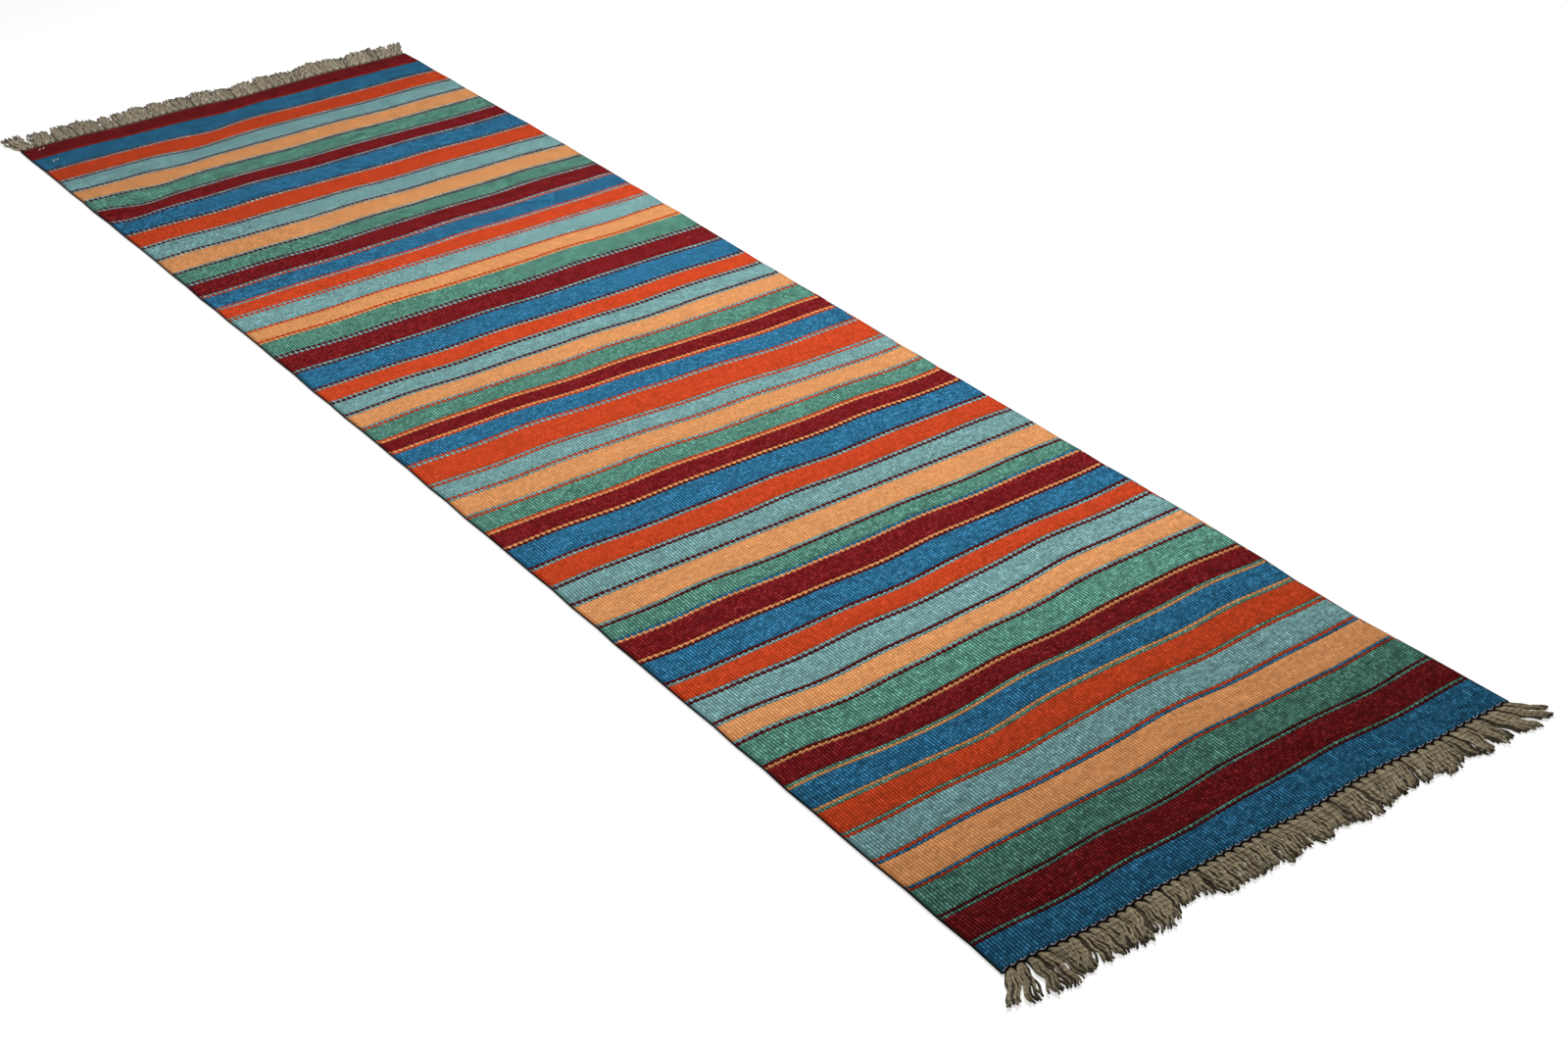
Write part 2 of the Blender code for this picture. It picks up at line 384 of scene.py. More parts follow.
class Nodes:
    """Short calls for building a node tree."""

    def __init__(self, name):
        self.material = bpy.data.materials.new(name)
        self.material.use_nodes = True
        self.tree = self.material.node_tree
        self.shader = self.tree.nodes["Principled BSDF"]

    def put(self, socket, value):
        if isinstance(value, bpy.types.NodeSocket):
            self.tree.links.new(value, socket)
        else:
            socket.default_value = value

    def maths(self, operation, *values):
        node = self.tree.nodes.new("ShaderNodeMath")
        node.operation = operation
        for socket, value in zip(node.inputs, values):
            self.put(socket, value)
        return node.outputs[0]

    def combine(self, x, y, z=0.0):
        node = self.tree.nodes.new("ShaderNodeCombineXYZ")
        for socket, value in zip(node.inputs, (x, y, z)):
            self.put(socket, value)
        return node.outputs[0]

    def stretch(self, first, first_scale, second, second_scale, third=0.0):
        """A place to read noise at, from two coordinates with a scale each."""
        x = self.maths("MULTIPLY", first, first_scale)
        y = self.maths("MULTIPLY", second, second_scale)
        return self.combine(x, y, third)

    def product(self, first, *others):
        for other in others:
            first = self.maths("MULTIPLY", first, other)
        return first

    def separate(self, vector):
        node = self.tree.nodes.new("ShaderNodeSeparateXYZ")
        self.put(node.inputs[0], vector)
        return node.outputs

    def noise(self, vector, scale, detail=2.0, roughness=0.5):
        node = self.tree.nodes.new("ShaderNodeTexNoise")
        self.put(node.inputs["Vector"], vector)
        node.inputs["Scale"].default_value = scale
        node.inputs["Detail"].default_value = detail
        node.inputs["Roughness"].default_value = roughness
        return node.outputs["Fac"]

    def cell(self, vector):
        node = self.tree.nodes.new("ShaderNodeTexWhiteNoise")
        self.put(node.inputs["Vector"], vector)
        return node.outputs["Value"]

    def attribute(self, name):
        node = self.tree.nodes.new("ShaderNodeAttribute")
        node.attribute_name = name
        return node.outputs

    def blend(self, share, first, second, mode="MIX"):
        node = self.tree.nodes.new("ShaderNodeMix")
        node.data_type = "RGBA"
        node.blend_type = mode
        sockets = (node.inputs[0], node.inputs[6], node.inputs[7])
        for socket, value in zip(sockets, (share, first, second)):
            self.put(socket, value)
        return node.outputs[2]

    def shaded(self, tone, shade):
        """A colour times a plain number."""
        return self.blend(1.0, tone, self.combine(shade, shade, shade), "MULTIPLY")

    def levels(self, value, low, high, to_low=0.0, to_high=1.0):
        node = self.tree.nodes.new("ShaderNodeMapRange")
        self.put(node.inputs[0], value)
        for socket, bound in zip(node.inputs[1:5], (low, high, to_low, to_high)):
            socket.default_value = bound
        return node.outputs[0]

    def finish(self, colour, height, depth, roughness=WOOL_ROUGHNESS, sheen=WOOL_SHEEN):
        """Woollen surface: no metal, a soft sheen and relief from a height in 0 to 1."""
        relief = self.tree.nodes.new("ShaderNodeBump")
        relief.inputs["Strength"].default_value = 1.0
        relief.inputs["Distance"].default_value = depth
        self.put(relief.inputs["Height"], height)
        self.put(self.shader.inputs["Normal"], relief.outputs[0])
        self.put(self.shader.inputs["Base Color"], colour)
        self.shader.inputs["Roughness"].default_value = roughness
        self.shader.inputs["Specular IOR Level"].default_value = 0.05
        self.shader.inputs["Sheen Weight"].default_value = sheen
        self.shader.inputs["Sheen Roughness"].default_value = 0.45
        return self.material


# Linear colour, how strongly the painted highlights on float crests and the dark streaks show, and
# the yarn's contrast of painted rib shade
YARNS = {
    "blue": ((0.0240, 0.153, 0.288), 0.45, 0.45, 1.15),
    "maroon": ((0.193, 0.0078, 0.0100), 0.36, 0.45, 1.0),
    "green": ((0.094, 0.257, 0.195), 0.42, 0.45, 1.15),
    "peach": ((0.850, 0.362, 0.136), 0.20, 0.15, 0.50),
    "teal": ((0.203, 0.388, 0.392), 0.34, 0.30, 0.85),
    "orange": ((0.663, 0.067, 0.0165), 0.20, 0.20, 0.60),
}


def weft_material(name):
    """Hand-spun wool beaten over the warps: slanted floats on each rib, heathered colour.

    Its weave attribute holds (rib, place along the cloth in mm, tone of the lot times painted shade
    towards both ends).
    """
    colour, crest_highlight_share, streak_share, contrast = YARNS[name]
    n = Nodes(f"weft_{name}")
    rib, pick, tone_and_end_shade = n.separate(n.attribute("weave")["Vector"])
    number = n.maths("FLOOR", rib)
    across = n.maths("FRACT", rib)

    # Floats of neighbouring ribs are half a row apart
    slant = n.maths("MULTIPLY", across, FLOAT_SLANT)
    half_drop = n.maths("MULTIPLY", n.maths("MODULO", number, 2.0), 0.5)
    place = n.maths("DIVIDE", pick, ROW_PITCH_MM)
    row = n.maths("ADD", n.maths("ADD", place, half_drop), slant)
    each_float = n.cell(n.combine(number, n.maths("FLOOR", row)))
    off_middle = n.maths("MULTIPLY_ADD", n.maths("FRACT", row), 2.0, -1.0)
    float_height = n.maths("SUBTRACT", 1.0, n.maths("MULTIPLY", off_middle, off_middle))
    off_crest = n.maths("MULTIPLY_ADD", across, 2.0, -1.0)
    rib_height = n.maths("SUBTRACT", 1.0, n.maths("MULTIPLY", off_crest, off_crest))
    rib_part = n.maths("MULTIPLY", rib_height, 1 - FLOAT_SHARE)
    height = n.maths("MULTIPLY_ADD", float_height, FLOAT_SHARE, rib_part)

    # Heathered wool: dark streaks along the weft and faded patches; light flecks at random on the
    # crests of high floats are painted highlights
    streak = n.levels(n.noise(n.stretch(rib, 0.06, pick, 0.33), 1.0, 3.0, 0.65), 0.32, 0.68)
    patch = n.levels(n.noise(n.stretch(rib, 0.045, pick, 0.02), 1.0, 2.0), 0.3, 0.7)
    crest_highlight = n.product(n.levels(each_float, 0.50, 1.0), n.levels(height, 0.45, 0.9))
    streaks = n.maths("MULTIPLY", streak, streak_share)
    tone = n.blend(streaks, opaque(colour), opaque(colour, 0.62))
    tone = n.blend(n.maths("MULTIPLY", patch, streak_share * 0.4), tone, opaque(colour, 1.3))
    tone = n.blend(n.maths("MULTIPLY", crest_highlight, crest_highlight_share), tone, opaque(colour, 1.5, 0.05))

    # Painted shade in the valleys between ribs and between floats, times random tone of each float,
    # run and thread
    ribs = n.levels(rib_height, 0.0, 1.0, *PAINTED_RIB_SHADES)
    rows = n.levels(float_height, 0.0, 0.9, *PAINTED_ROW_SHADES)
    floats = n.levels(each_float, 0.0, 1.0, *FLOAT_SHADES)
    run_place = n.maths("MULTIPLY_ADD", number, RUN_STAGGER, n.maths("DIVIDE", pick, RUN_LENGTH_MM))
    run_value = n.cell(n.combine(number, n.maths("FLOOR", run_place), 0.5))
    runs = n.levels(run_value, 0.0, 1.0, *RUN_SHADES)
    beat = n.maths("FLOOR", place)
    thread_value = n.noise(n.stretch(rib, THREAD_SPREAD, beat, THREAD_SCALE), 1.0, 1.0)
    threads = n.levels(thread_value, 0.3, 0.7, *THREAD_SHADES)
    shade = n.product(ribs, rows, floats, runs, threads)
    near_depth = n.levels(
        pick, *NEAR_CHANGE_MM, contrast * NEAR_CONTRAST, contrast * MIDDLE_CONTRAST)
    far_depth = n.levels(pick, *FAR_CHANGE_MM, 1.0, FAR_CONTRAST)
    shade = n.maths("POWER", shade, n.maths("MULTIPLY", near_depth, far_depth))
    tone = n.shaded(tone, n.maths("MULTIPLY", shade, tone_and_end_shade))
    fuzz = n.noise(n.stretch(rib, 3.0, pick, 2.0), 1.0, 2.0)
    return n.finish(tone, n.maths("MULTIPLY_ADD", fuzz, 0.2, height), WEFT_RELIEF)


def plied_material(name, colour, variation):
    """Plied yarn whose weave attribute holds (place along in mm, turn round it, yarn number)."""
    n = Nodes(name)
    along, turn, number = n.separate(n.attribute("weave")["Vector"])
    fibre = n.noise(n.stretch(along, 0.5, turn, 5.0, number), 1.0, 3.0)
    each = n.noise(n.combine(number, 0.37, 0.11), 3.7, 0.0)
    tone = n.blend(n.levels(each, 0.3, 0.7), opaque(colour, 1 - variation),
                   opaque(colour, 1 + variation * 0.6))
    tone = n.shaded(tone, n.levels(fibre, 0.3, 0.7, 0.70, 1.12))
    return n.finish(tone, fibre, YARN_RELIEF, YARN_ROUGHNESS, YARN_SHEEN)


def fringe_material(colour):
    """Undyed plied warp: weave holds (share of the length, turn of the plies, yarn number).

    The yarn_colour attribute holds its tint with its layer's painted shade, and in alpha how fast
    the painted shade at its root lightens.
    """
    n = Nodes("warp_fringe")
    share, turn, number = n.separate(n.attribute("weave")["Vector"])
    tint = n.attribute("yarn_colour")
    ply = n.maths("SINE", n.maths("MULTIPLY", turn, 4 * math.pi))
    fibre = n.noise(n.stretch(share, 22.0, turn, 4.0, number), 1.0, 3.0)
    each = n.cell(n.combine(number, 0.5))
    tone = n.blend(each, opaque(colour, 0.80), opaque(colour, 1.15))
    # Painted shade at the root, lightening along the yarn at the rate in yarn_colour's alpha
    root = n.maths("MINIMUM", 1.0, n.maths("MULTIPLY_ADD", share, tint["Alpha"], 0.12))
    # Darker over the last fifth of each yarn towards its tip, as painted shadow
    painted_tip_shadow = n.levels(share, 0.78, 1.0, 1.0, 0.55)
    fibres = n.levels(fibre, 0.3, 0.7, 0.78, 1.12)
    plies = n.levels(ply, -1.0, 1.0, 0.80, 1.10)
    tone = n.shaded(tone, n.product(fibres, plies, painted_tip_shadow, root))
    tone = n.blend(1.0, tone, tint["Color"], "MULTIPLY")
    return n.finish(tone, n.maths("MULTIPLY_ADD", ply, 0.5, fibre), YARN_RELIEF, YARN_ROUGHNESS)


def selvedge_material():
    """Edge cord: yarn_colour holds the wefts on top and near black painted shade on its outer and
    lower side.
    """
    n = Nodes("selvedge")
    along, turn, _ = n.separate(n.attribute("weave")["Vector"])
    fibre = n.noise(n.stretch(along, 0.8, turn, 4.0), 1.0, 3.0)
    own = n.attribute("yarn_colour")["Color"]
    tone = n.shaded(own, n.levels(fibre, 0.3, 0.7, 0.75, 1.08))
    return n.finish(tone, fibre, YARN_RELIEF)


WEFTS = {name: weft_material(name) for name in YARNS}
FRINGE_YARN = fringe_material((0.41, 0.350, 0.235))
# Light then dark yarn of the twined cord at each end; the near black of the near end's dark yarn is
# partly painted shadow
TWINE_YARNS = {
    "near": (
        plied_material("end_cord", (0.55, 0.51, 0.56), 0.2),
        plied_material("end_cord_dark", (0.012, 0.010, 0.009), 0.2),
    ),
    "far": (
        plied_material("end_cord_beige", (0.33, 0.28, 0.21), 0.2),
        plied_material("end_cord_brown", (0.060, 0.022, 0.018), 0.2),
    ),
}
SELVEDGE = selvedge_material()
LOOSE_THREAD = plied_material("loose_thread", (0.75, 0.76, 0.72), 0.1)


# ---------------------------------------------------------------- pieces
def line_width(line):
    """Width of each of the two edge lines at one band boundary."""
    if line == BANDS - 1:
        return LAST_LINE_WIDTH
    return NEAR_LINE_WIDTH if line <= NEAR_LINES else EDGE_LINE_WIDTH


def line_shape(line):
    """How long the teeth of one pair of edge lines are, and where in their cycle they start."""
    share = (0.24 + 0.32 * min(1.0, line / 30)) * (0.82 + 0.22 * math.sin(2.4 * line))
    return line_width(line) * share, 0.5 * (line % 2)


def pair_seams(line):
    """The three seams of the pair of edge lines at one band boundary, near side first."""
    tooth, phase = line_shape(line)
    width = line_width(line)
    return (
        seam(line, -width, tooth * OUTER_TOOTH, phase + 0.5),
        seam(line, 0.0, tooth, phase),
        seam(line, width, tooth * OUTER_TOOTH, phase + 0.5),
    )


def apart(low_seam, high_seam):
    """The same two seams, drawn in so that neighbouring strips don't touch."""
    low_x, low_y, low_pick = low_seam
    high_x, high_y, high_pick = high_seam
    return (low_x, low_y + GAP / 4, low_pick), (high_x, high_y - GAP / 4, high_pick)


def fold_for(line_low, line_high):
    """The fold whose turning cloth a strip between two lines belongs to, if any."""
    if NEAR_FOLD_LINE - 1 <= line_low and line_high <= NEAR_FOLD_LINE:
        return "near"
    if FAR_FOLD_LINE <= line_low and line_high <= FAR_FOLD_LINE + 1:
        return "far"
    return None


def attach(piece, body, fold):
    """Ride on a panel, or, next to a fold line, only have its transform baked into its mesh."""
    if fold == "near":
        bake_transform(piece)
    elif fold == "far":
        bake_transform(piece)
    else:
        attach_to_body(piece, body)


# Painted shade towards both ends: last band of each step, with the tone of the bands up to it
END_SHADE_TONES = ((3, 0.64), (8, 0.88), (12, 1.10), (36, 1.05), (48, 0.96), (BANDS, 0.80))


def lot_and_end_shade(number):
    """Darker towards both ends as painted shade, most for the first bands, with small random
    differences from band to band.
    """
    own = 1 + 0.03 * math.sin(5.1 * number)
    return own * next(tone for last, tone in END_SHADE_TONES if number <= last)


def body_rows(width, fold):
    """Rows across a band: rounded down at its two seams and nearly flat between."""
    edge = SEAM_REACH / width
    step = FOLD_ROW_STEP if fold else PLAIN_ROW_STEP
    count = max(2, round(width * (1 - 2 * edge) / step))
    inner = [(share, THICKNESS) for share in np.linspace(edge, 1 - edge, count)]
    return [(0.0, THICKNESS - SEAM_DROP), *inner, (1.0, THICKNESS - SEAM_DROP)]


def build_band(number, near_seams, far_seams):
    """One colour band, between the edge lines on either side of it."""
    colour = COLOUR_NAMES[number - 1]
    node = f"band_{number:02d}_{colour}"
    fold = fold_for(number - 1, number)
    low = near_seams[2] if near_seams else seam(0, CORD_DIAMETER + GAP)
    high = far_seams[0] if far_seams else seam(BANDS, -CORD_DIAMETER - GAP)
    rows = body_rows(BAND_WIDTHS_MM[number - 1] / 1000, fold)
    piece = strip(f"weave_{number:02d}_{colour}", *apart(low, high), rows, lot_and_end_shade(number))
    piece.data.materials.append(WEFTS[colour])
    attach(piece, BODY_OF_NODE[node], fold)
    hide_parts(node)
    return piece


def build_edge_line(line, which, low, high):
    """The nearer (0) or the farther (1) thin line at a band boundary, as a rounded strip."""
    colour = EDGE_LINES[line - 1].split()[which]
    place = "near" if which == 0 else "far"
    band = line + which
    fold = fold_for(band - 1, band)
    seam_height = THICKNESS - LINE_DROP
    rows = [(0.0, seam_height), (0.3, THICKNESS), (0.7, THICKNESS), (1.0, seam_height)]
    tone_and_end_shade = lot_and_end_shade(band) * LINE_LOTS[colour]
    piece = strip(f"line_{line:02d}_{place}_{colour}", *apart(low, high), rows, tone_and_end_shade)
    piece.data.materials.append(WEFTS[colour])
    attach(piece, BODY_OF_NODE[f"band_{band:02d}_{COLOUR_NAMES[band - 1]}"], fold)
    return piece


def build_weave():
    """All bands with the edge lines that belong to each; returns them by band number."""
    seams = {line: pair_seams(line) for line in range(1, BANDS)}
    lines = {number: [] for number in range(1, BANDS + 1)}
    for line in range(1, BANDS):
        near, middle, far = seams[line]
        lines[line].append(build_edge_line(line, 0, near, middle))
        lines[line + 1].append(build_edge_line(line, 1, middle, far))
    bands = {}
    for number in lines:
        bands[number] = build_band(number, seams.get(number - 1), seams.get(number))
    return bands, lines


def colour_at(y):
    """The weft colour that turns round the selvedge at a place along the rug, with its band's
    painted shade towards the ends.
    """
    number = next((number for number in range(1, BANDS) if y < LINE_Y[number]), BANDS)
    here = COLOUR_NAMES[number - 1]
    if number > 1 and y < LINE_Y[number - 1] + line_width(number - 1):
        here = EDGE_LINES[number - 2].split()[1]
    if number < BANDS and y > LINE_Y[number] - line_width(number):
        here = EDGE_LINES[number - 1].split()[0]
    return np.array(YARNS[here][0]) * lot_and_end_shade(number)


# The length along the selvedge of one turn of the wefts, and the near black painted shade of its
# outer side
WRAP_PITCH = 0.0031
SELVEDGE_STEP = 0.0011
SELVEDGE_SIDES = 10
PAINTED_EDGE_SHADE = (0.009, 0.010, 0.008)


def build_selvedge(side, word, edge, panel, first, last):
    """The bundled edge warps along one side of one panel, with the wefts wrapped over them."""
    radius = CORD_DIAMETER / 2
    low = end_of_line(first, side) + GAP / 2
    high = end_of_line(last, side) - GAP / 2
    y = np.linspace(low, high, int((high - low) / SELVEDGE_STEP))
    stops = range(first, last + 1)
    out = [edge(end_of_line(line, side)) + uneven(line, side) for line in stops]
    x = np.interp(y, [end_of_line(line, side) for line in stops], out)
    path = np.stack([x - side * radius, y, np.full(len(y), radius)], -1)
    rings = tube_rings(path, radius * 0.97, SELVEDGE_SIDES, 0.03, 1, y / WRAP_PITCH)
    angle = 2 * math.pi * np.arange(SELVEDGE_SIDES) / SELVEDGE_SIDES
    outward = np.cos(angle) * side
    # 1 where the weft colour shows, on top and towards the cloth; the outer and lower side gets
    # painted shade
    upper = np.clip(np.sin(angle) * 1.8 - 1.1 - 1.4 * outward, 0, 1)
    own = np.array([colour_at(value) for value in y])
    shade = own[:, None] * upper[None, :, None] + np.array(PAINTED_EDGE_SHADE) * (1 - upper)[None, :, None]
    colours = np.concatenate([shade, np.ones(shade.shape[:2] + (1,))], -1)
    weave = yarn_weave(rings, y * 1000, angle / (2 * math.pi), 0)
    faces = ring_faces(len(y), SELVEDGE_SIDES)
    piece = mesh_object(f"edge_{word}_{panel}", rings, faces, weave, colours)
    piece.data.materials.append(SELVEDGE)
    attach(piece, f"{panel}_panel", panel if panel != "centre" else None)
    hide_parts(f"selvedge_{word}_{panel}")
    return piece


Twine = namedtuple("Twine", "turns radius place swing lift height")

# Light then dark yarn: turns along the end, radius, place outward, how far it swings out and up,
# and the height of its middle
TWINES = {
    "near": (
        Twine(2 * TUFTS, 0.00115, -0.0009, 0.0006, 0.0012, 0.0022),
        # The near dark yarn swings out once per tuft into the gaps between tuft heads, its near
        # black there painted shadow
        Twine(TUFTS, 0.0018, 0.0016, 0.0013, 0.0002, 0.0036),
    ),
    "far": (
        Twine(2 * TUFTS, 0.00105, -0.0004, 0.0007, 0.0012, 0.0026),
        Twine(2 * TUFTS, 0.0010, 0.0001, 0.0007, 0.0012, 0.0027),
    ),
}
TWINE_STEP = 0.0012
TWINE_PLY_PITCH = 0.0045


def build_twine(panel, line, outward, strand):
    """The light (0) or the dark (1) yarn of the two that twine along a woven end."""
    twine = TWINES[panel][strand]
    x_line, y_line, _ = seam(line, outward * (twine.place - CORD_DIAMETER / 2))
    x = np.arange(x_line[0] + twine.radius, x_line[-1] - twine.radius, TWINE_STEP)
    phase = 2 * math.pi * (x - x_line[0]) / (x_line[-1] - x_line[0]) * twine.turns
    opposite = -1 if strand == 0 else 1
    y = np.interp(x, x_line, y_line) + outward * (twine.swing * np.cos(phase) * opposite)
    z = twine.height + twine.lift * np.sin(phase) * opposite
    path = np.stack([x, y, np.maximum(z, twine.radius * CLEARANCE)], -1)
    rings = tube_rings(path, twine.radius, YARN_SIDES, 0.12, 2, x / TWINE_PLY_PITCH)
    weave = yarn_weave(rings, x * 1000, np.arange(YARN_SIDES) / YARN_SIDES, strand)
    name = f"twine_{panel}_{'light' if strand == 0 else 'dark'}"
    piece = mesh_object(name, rings, ring_faces(len(x), YARN_SIDES), weave)
    piece.data.materials.append(TWINE_YARNS[panel][strand])
    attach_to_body(piece, f"{panel}_panel")
    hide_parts(f"end_cord_{panel}")
    return piece


# How one yarn strays from its tuft: where its curl starts, how much more it bends, how much higher
# it lies and how much longer its curl is
Chance = namedtuple("Chance", "curl_start bend rise curl_length")
CURL = 0.0016
CURL_LENGTH = 0.026
ROOT_INSET = 0.0012


def yarn_path(root, heading, bend, length, fan, layer, chance):
    """A loose yarn: it arches out of the weave, spreads with its tuft and lies on the floor.

    Built along +Y from its root. Headings and bends are in radians.
    """
    along = np.arange(0, length, RING_STEP)
    share = along / length
    turning = heading + bend * share + chance.bend * share**2
    step = np.gradient(along)
    forward = np.cumsum(step * np.cos(turning)) - step[0] * math.cos(turning[0])
    sideways = np.cumsum(step * np.sin(turning)) - step[0] * math.sin(turning[0])
    spread = 0.65 * ramp(along, 0.003, 0.014) + 0.35 * ramp(along, 0.010, 0.030)
    sideways = sideways + fan * spread
    curl_length = CURL_LENGTH + 0.004 * chance.curl_length
    curl = CURL * np.sin(2 * math.pi * along / curl_length + chance.curl_start)
    sideways = sideways + curl * ramp(along, 0.004, 0.03)
    settle = ramp(along, 0.003, 0.013)
    resting = LAYER_HEIGHTS[layer] + chance.rise - 0.0007 * layer * share
    arch = LAYER_ARCHES[layer] * np.sin(math.pi * np.clip(along / 0.012, 0, 1))
    z = root[2] * (1 - settle) + resting * settle + arch
    return np.column_stack([root[0] + sideways, root[1] + forward, z])


# Places along the near fringe where it is shorter: tuft, how many tufts, how much
SHORT_TUFTS = (
    (16.2, 2.0, 0.20), (18.0, 0.8, 0.16), (24.5, 1.5, 0.10),
    (33.4, 1.6, 0.18), (45.0, 1.2, 0.12), (48.2, 0.8, 0.14),
)
# Corner tufts that lie as the photo shows: heading, bend, length share and looseness
CORNER_TUFTS = {
    "near": {
        0: (-0.52, -0.26, 0.84, 1.1), 1: (-0.32, 0.06, 0.86, 1.1), 2: (0.12, -0.34, 0.90, 0.9),
        3: (0.20, -0.60, 0.94, 1.0), 53: (0.16, 0.16, 0.80, 1.0), 54: (0.26, 0.22, 0.90, 1.0),
        55: (0.36, 0.28, 0.94, 0.9), 56: (0.46, 0.34, 0.96, 0.8), 57: (0.66, 0.30, 0.76, 0.5),
    },
    "far": {
        0: (-0.44, 0.66, 1.15, 1.0), 1: (-0.26, 0.42, 1.15, 1.0), 2: (-0.06, 0.16, 1.04, 1.0),
        55: (0.24, 0.12, 0.96, 1.0), 56: (0.28, 0.14, 0.98, 1.0), 57: (0.30, 0.16, 1.02, 0.8),
    },
}


def tuft_style(panel, tuft):
    """Heading from straight out, bend towards the tip, length share and looseness of one tuft."""
    if panel == "near":
        heading = 0.20 + 0.07 * math.sin(0.9 * tuft) + 0.08 * math.sin(0.23 * tuft + 1.0)
        bend = -0.50 + 0.20 * math.sin(1.7 * tuft + 0.4) + 0.16 * math.sin(0.41 * tuft)
        length = 0.79 + 0.05 * math.sin(0.55 * tuft + 0.6) + 0.04 * math.sin(1.9 * tuft)
        length -= sum(depth * bump(tuft, at, reach) for at, reach, depth in SHORT_TUFTS)
    else:
        heading = 0.02 + 0.14 * tuft / TUFTS + 0.05 * math.sin(0.5 * tuft)
        bend = 0.05 * math.sin(1.3 * tuft) + 0.05
        length = 0.98 + 0.05 * math.sin(0.7 * tuft + 2.0) + 0.05 * math.sin(2.3 * tuft)
    return CORNER_TUFTS[panel].get(tuft, (heading, bend, length, 1.0))


def yarn_radius(along, length, yarn):
    """Radius along a yarn, uneven as hand spinning leaves it and thinner at its tip."""
    radius = YARN_RADIUS * (1 - 0.25 * ramp(along, length - 0.003, length))
    return radius * (1 + 0.04 * np.sin(along * 700 + yarn))


def yarn_tint(panel, layer, random):
    """Tint of one yarn with its layer's painted shade, and how fast the painted shade at its root
    lightens as its alpha.
    """
    shade = PAINTED_LAYER_SHADES[panel][layer] * random.uniform(0.70, 1.22)
    warm = 1 - 0.10 * random.uniform(0, 1)
    tint = shade * np.array([1, (1 + warm) / 2, warm]) * PANEL_TINTS[panel]
    return np.append(tint, PAINTED_ROOT_SHADES[panel][layer])


def build_tuft(panel, line, outward, tuft, random):
    """One tuft: the warp ends of three ribs, drawn together at the last weft and then loose."""
    x_line, y_line, _ = seam(line, outward * GAP)
    centre = x_line[0] + (x_line[-1] - x_line[0]) * (tuft + 0.5) / TUFTS
    heading, bend, length_share, loose = tuft_style(panel, tuft)
    wave = random.uniform(0, 6.3)
    own_lean = random.normal(0, 0.11)
    points, faces, weave, colours = [], [], [], []
    for yarn, (place, layer) in enumerate(TUFT_YARNS):
        x = centre + place * TUFT_ROOTS[layer]
        y = np.interp(x, x_line, y_line) - outward * ROOT_INSET
        spread = random.normal(0, 0.032) - 0.16 * place * place
        length = min(TUFT_LENGTH * length_share * (1 + spread), LONGEST_YARN)
        free = LAYER_FREEDOM[layer] * loose
        chance = Chance(wave + random.normal(0, 0.7), random.normal(0, 0.13) * free,
                        random.uniform(0, 0.0003), random.uniform(0, 1))
        lean = heading + (own_lean + random.normal(0, 0.035)) * free
        fan = place * (TUFT_FANS[layer] * loose - (1 - loose) * TUFT_ROOTS[layer] * 0.4)
        path = yarn_path((x, y * outward, ROOT_HEIGHT), lean, bend, length, fan, layer, chance)
        path[:, 1] *= outward
        along = distance_along(path)
        radius = yarn_radius(along, length, yarn)
        highest = FRINGE_TOP - YARN_RADIUS * CLEARANCE
        path[:, 2] = np.clip(path[:, 2], radius * CLEARANCE, highest)
        plies = along / PLY_PITCH
        rings = tube_rings(path, radius, YARN_SIDES, 0.13, 2, plies)
        turn = np.arange(YARN_SIDES) / YARN_SIDES - plies[:, None] * 0.5
        strands = yarn_weave(rings, along / along[-1], turn, tuft * len(TUFT_YARNS) + yarn)
        faces += ring_faces(len(path), YARN_SIDES, sum(len(part) for part in points))
        points.append(rings.reshape(-1, 3))
        weave.append(strands.reshape(-1, 3))
        colours.append(np.tile(yarn_tint(panel, layer, random), (len(points[-1]), 1)))
    piece = mesh_object(f"tuft_{panel}_{tuft + 1:02d}", np.concatenate(points), faces,
                        np.concatenate(weave), np.concatenate(colours))
    piece.data.materials.append(FRINGE_YARN)
    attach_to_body(piece, f"{panel}_panel")
    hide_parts(f"fringe_{panel}")
    return piece


LOOSE_THREADS = ((-0.3680, 1.3720), (-0.3600, 1.3735), (-0.3670, 1.3060), (-0.3590, 1.3085))
LOOSE_THREAD_HALF = 0.0042
LOOSE_THREAD_RADIUS = 0.0010


def build_loose_threads():
    """Two pairs of short white threads caught on the face near the far left corner."""
    made = []
    for number, (x, y) in enumerate(LOOSE_THREADS):
        along = np.linspace(-LOOSE_THREAD_HALF, LOOSE_THREAD_HALF, 9)
        arch = THICKNESS + 0.0007 - 45 * along**2
        path = np.stack([x + along * 0.62, y + along * 0.78, arch], -1)
        radius = LOOSE_THREAD_RADIUS * (1 - 0.5 * (along / LOOSE_THREAD_HALF) ** 2)
        rings = tube_rings(path, radius, YARN_SIDES, 0.1, 2, along * 200)
        weave = yarn_weave(rings, along * 1000, 0, 0)
        faces = ring_faces(len(along), YARN_SIDES)
        piece = mesh_object(f"loose_thread_{number + 1}", rings, faces, weave)
        piece.data.materials.append(LOOSE_THREAD)
        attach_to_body(piece, "far_panel")
        made.append(piece)
    return made


def build_ends():
    """Twined cords and fringes of both ends; returns them by panel."""
    made = {}
    for panel, line, outward, seed in (("near", 0, -1, 11), ("far", BANDS, 1, 12)):
        random = np.random.RandomState(seed)
        made[panel] = [build_twine(panel, line, outward, strand) for strand in (0, 1)]
        made[panel] += [build_tuft(panel, line, outward, tuft, random) for tuft in range(TUFTS)]
    made["far"] += build_loose_threads()
    return made


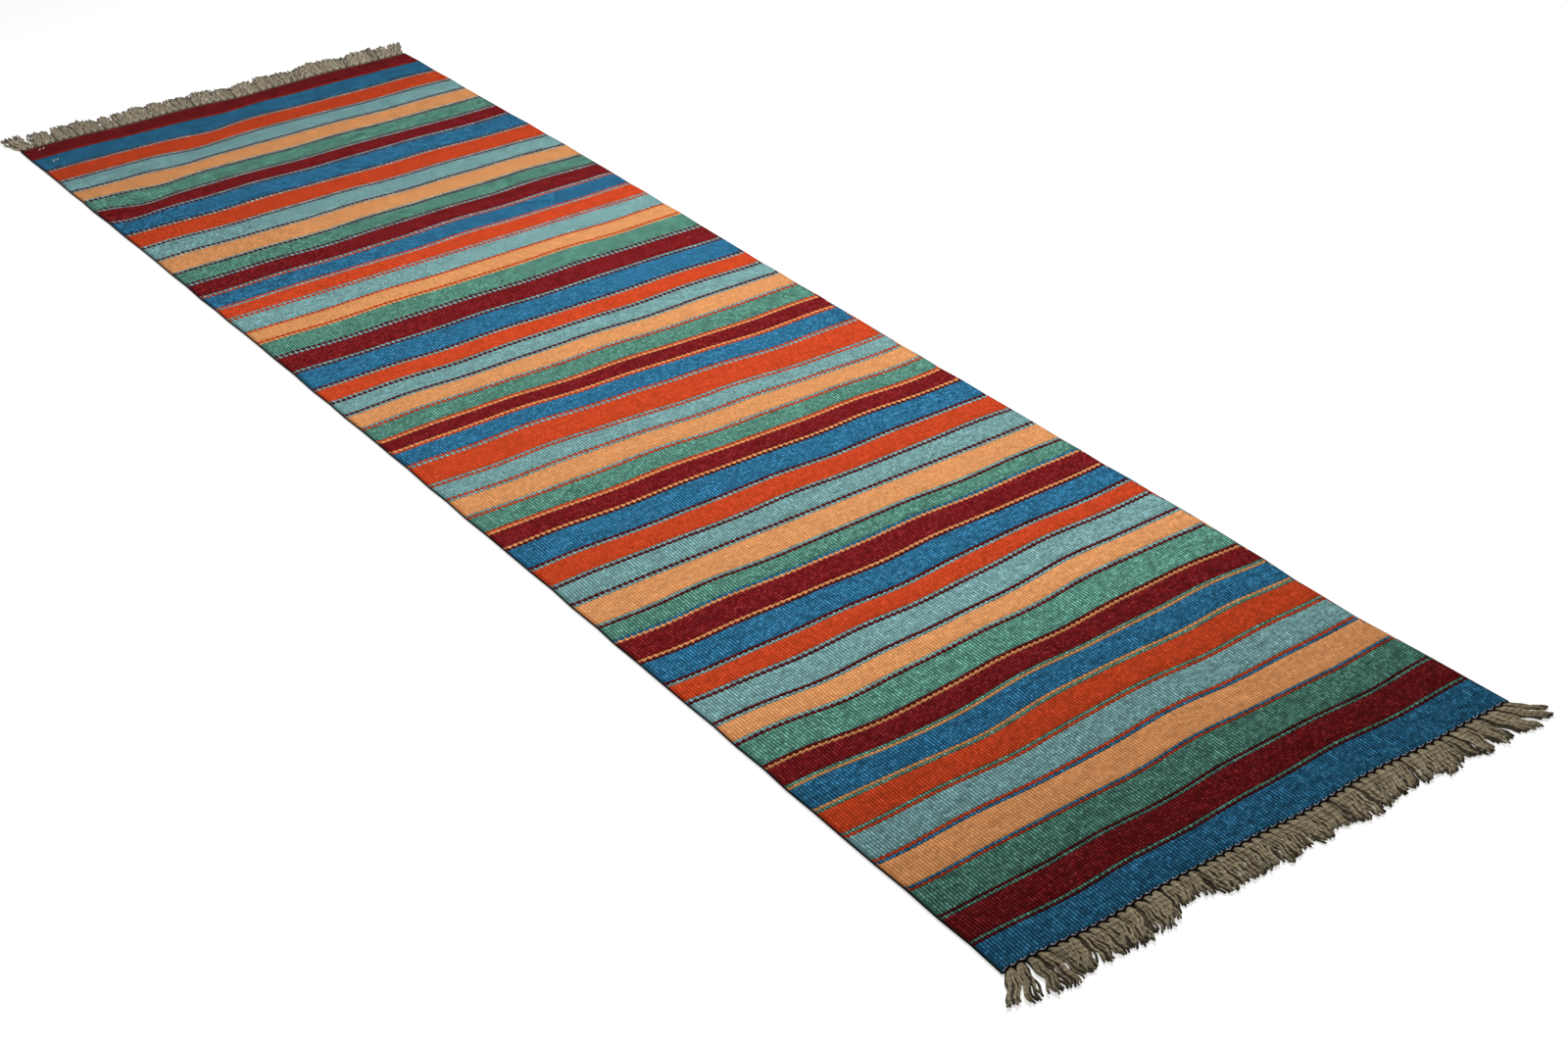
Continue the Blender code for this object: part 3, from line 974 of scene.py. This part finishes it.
# ---------------------------------------------------------------- studio
FLOOR_SIZE = 40.0
FLOOR_DROP = 0.0004
FLOOR_COLOUR = (0.86, 0.86, 0.86, 1)
FLOOR_GLOW = 0.60
KEY_PLACE = (0.75, 0.12, 2.3)
KEY_AIM = (0.0, -0.05, 0.0)
KEY_SIZE = 1.0
KEY_WATTS = 48
SKY_STRENGTH = 0.175


def build_floor():
    """A white floor that glows a little, as the photo's background is plain white."""
    bpy.ops.mesh.primitive_plane_add(size=FLOOR_SIZE, location=(0, 0, -FLOOR_DROP))
    floor = bpy.context.object
    floor.name = "floor"
    material = bpy.data.materials.new("pale_floor")
    material.use_nodes = True
    shader = material.node_tree.nodes["Principled BSDF"]
    shader.inputs["Base Color"].default_value = FLOOR_COLOUR
    shader.inputs["Roughness"].default_value = 0.9
    shader.inputs["Specular IOR Level"].default_value = 0.1
    shader.inputs["Emission Color"].default_value = (1, 1, 1, 1)
    shader.inputs["Emission Strength"].default_value = FLOOR_GLOW
    floor.data.materials.append(material)


def build_lights():
    """One soft lamp from above on the right, and a dim white sky."""
    light = bpy.data.lights.new("key", "AREA")
    light.shape = "RECTANGLE"
    light.size = light.size_y = KEY_SIZE
    light.energy = KEY_WATTS
    lamp = bpy.data.objects.new("key", light)
    lamp.location = KEY_PLACE
    aim = Vector(KEY_AIM) - Vector(KEY_PLACE)
    lamp.rotation_euler = aim.to_track_quat("-Z", "Y").to_euler()
    bpy.context.scene.collection.objects.link(lamp)
    world = bpy.data.worlds.new("studio")
    bpy.context.scene.world = world
    world.use_nodes = True
    sky = world.node_tree.nodes["Background"]
    sky.inputs["Color"].default_value = (1, 1, 1, 1)
    sky.inputs["Strength"].default_value = SKY_STRENGTH


CAMERA_PLACE = Vector((-1.6891, -2.8238, 1.7443))
CAMERA_AIM = Vector((-0.0500, -0.5191, 0.0))
CAMERA_ROLL = math.radians(-1.197)
CAMERA_LENS = 55.82


def build_camera():
    """Eye height beside the near left corner, looking along the rug."""
    data = bpy.data.cameras.new("camera")
    data.lens = CAMERA_LENS
    data.sensor_width = 36.0
    camera = bpy.data.objects.new("camera", data)
    turn = (CAMERA_AIM - CAMERA_PLACE).to_track_quat("-Z", "Y").to_matrix().to_4x4()
    roll = Matrix.Rotation(CAMERA_ROLL, 4, "Z")
    camera.matrix_world = Matrix.Translation(CAMERA_PLACE) @ turn @ roll
    bpy.context.scene.collection.objects.link(camera)
    bpy.context.scene.camera = camera


build_camera()
build_floor()
build_lights()
bpy.context.scene.view_settings.view_transform = "Standard"

bands, lines = build_weave()
for panel, (first, last) in PANEL_LINES.items():
    build_selvedge(-1, "left", left_edge, panel, first, last)
    build_selvedge(1, "right", right_edge, panel, first, last)
ends = build_ends()
